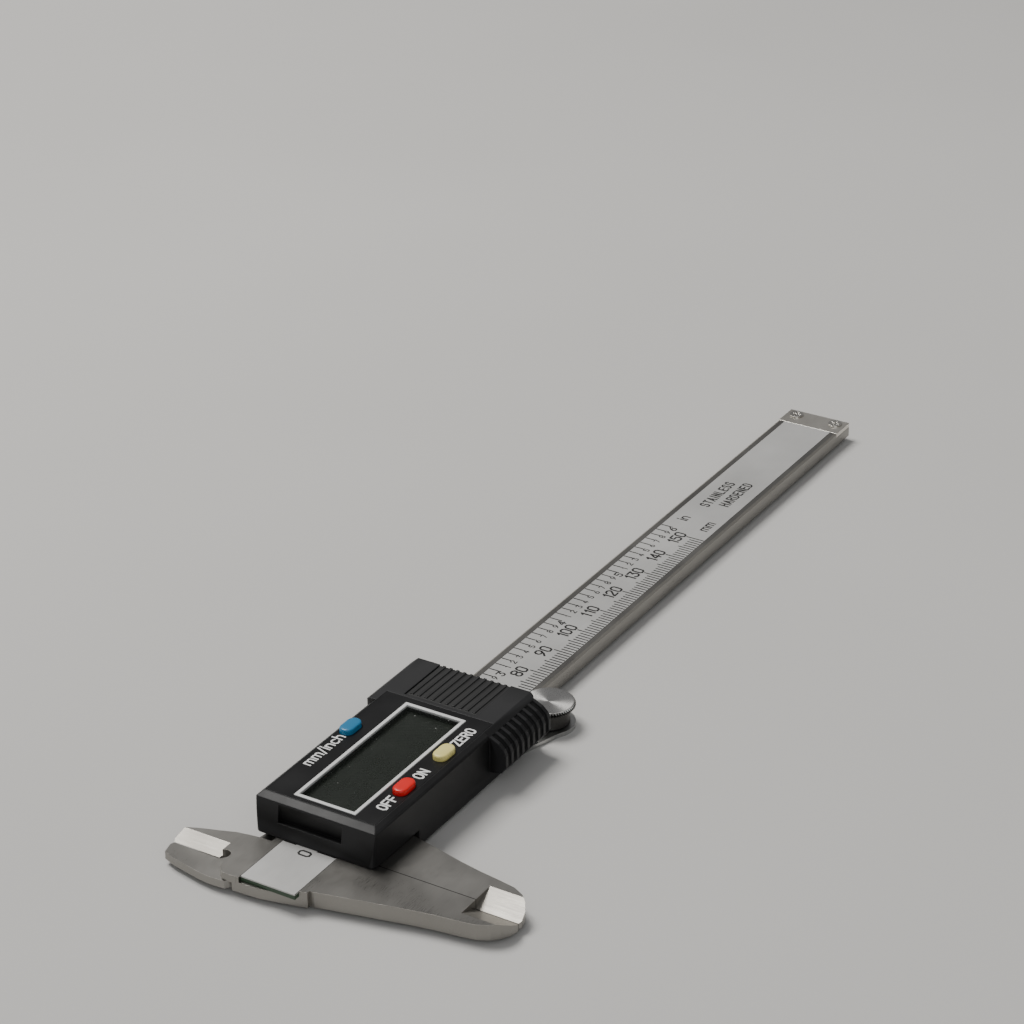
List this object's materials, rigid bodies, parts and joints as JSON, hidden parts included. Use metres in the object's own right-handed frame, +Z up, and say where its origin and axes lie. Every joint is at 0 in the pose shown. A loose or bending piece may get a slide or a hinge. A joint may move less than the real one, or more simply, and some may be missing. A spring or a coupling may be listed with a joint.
{
  "type": "digital caliper",
  "caption": "Digital caliper with outside and inside jaws, depth rod, sliding display head, push buttons and a thumb roller.",
  "frame": {"origin": "where the outside jaws' contact plane, the beam's centreline and the plane the caliper rests on meet, with the jaws closed", "axes": "+X along the beam away from the jaws, +Y towards the inside jaws, +Z up out of the display"},
  "size_m": [0.2384, 0.0726, 0.0138],
  "materials": {
    "beam_steel": "satin ground stainless steel",
    "slider_steel": "satin ground stainless steel",
    "plate_steel": "satin",
    "rod_steel": "satin",
    "screw_steel": "bright",
    "roller_chrome": "turned and plated",
    "lock_chrome": "knurled and plated",
    "scale_print": "satin with black graduations",
    "scale_circuit": "circuit laminate",
    "end_steel": "satin",
    "gib_brass": "plain",
    "head_plastic": "satin black",
    "label_plastic": "glossy black film",
    "frame_plastic": "white",
    "window_plastic": "clear",
    "lcd_glass": "switched-off liquid crystal display",
    "holder_plastic": "plain",
    "zebra_rubber": "plain",
    "board_green": "solder mask",
    "chip_black": "plain",
    "switch_plastic": "plain",
    "button_blue": "satin",
    "button_cream": "satin",
    "button_red": "satin",
    "cell_steel": "plated",
    "contact_metal": "plated"
  },
  "bodies": {
    "fixed_beam": {"beam": "beam_steel", "scale_board": "scale_circuit", "scale_cover": "scale_print", "end_block": "end_steel", "rod_keeper": "plate_steel", "end_screws": "screw_steel"},
    "slider": {"slider_frame": "slider_steel", "back_plate": "plate_steel", "plate_screws": "screw_steel", "gib_strip": "gib_brass", "gib_screws": "screw_steel", "depth_rod": "rod_steel", "rod_shim": "plate_steel", "rod_rivets": "screw_steel", "housing": "head_plastic", "housing_screws": "screw_steel", "face_label": "label_plastic", "lcd_frame": "frame_plastic", "lcd_window": "window_plastic", "lcd_panel": "lcd_glass", "lcd_holder": "holder_plastic", "zebra_strips": "zebra_rubber", "circuit_board": "board_green", "board_screws": "screw_steel", "controller_chip": "chip_black", "button_switches": "switch_plastic", "battery_cell": "cell_steel", "contact_spring": "contact_metal", "contact_tab": "contact_metal"},
    "roller": {"thumb_roller": "roller_chrome", "roller_axle": "screw_steel"},
    "lock": {"lock_screw": "lock_chrome"},
    "mode_button": {"button_mode": "button_blue"},
    "zero_button": {"button_zero": "button_cream"},
    "power_button": {"button_power": "button_red"},
    "cover": {"battery_cover": "head_plastic"}
  },
  "joints": [
    {"name": "slider_travel", "type": "slide", "parent": "fixed_beam", "child": "slider", "axis": [1, 0, 0], "range_m": [0, 0.15]},
    {"name": "roller_turn", "type": "hinge", "parent": "slider", "child": "roller", "pos_m": [0.0674, -0.0126, 0], "axis": [0, 0, 1], "range_deg": [0, 1870]},
    {"name": "lock_turn", "type": "hinge", "parent": "slider", "child": "lock", "pos_m": [0.03, 0.0123, 0.0032], "axis": [0, 1, 0], "range_deg": [0, 270]},
    {"name": "mode_press", "type": "slide", "parent": "slider", "child": "mode_button", "axis": [0, 0, -1], "range_m": [0, 0.0005], "stiffness_N_per_m": 800, "springref_m": -0.0002},
    {"name": "zero_press", "type": "slide", "parent": "slider", "child": "zero_button", "axis": [0, 0, -1], "range_m": [0, 0.0005], "stiffness_N_per_m": 800, "springref_m": -0.0002},
    {"name": "power_press", "type": "slide", "parent": "slider", "child": "power_button", "axis": [0, 0, -1], "range_m": [0, 0.0005], "stiffness_N_per_m": 800, "springref_m": -0.0002},
    {"name": "cover_slide", "type": "slide", "parent": "slider", "child": "cover", "axis": [1, 0, 0], "range_m": [0, 0.014]}
  ],
  "couplings": [
    {"joint": "roller_turn", "follows": "slider_travel", "rad_per_m": 216.45}
  ]
}
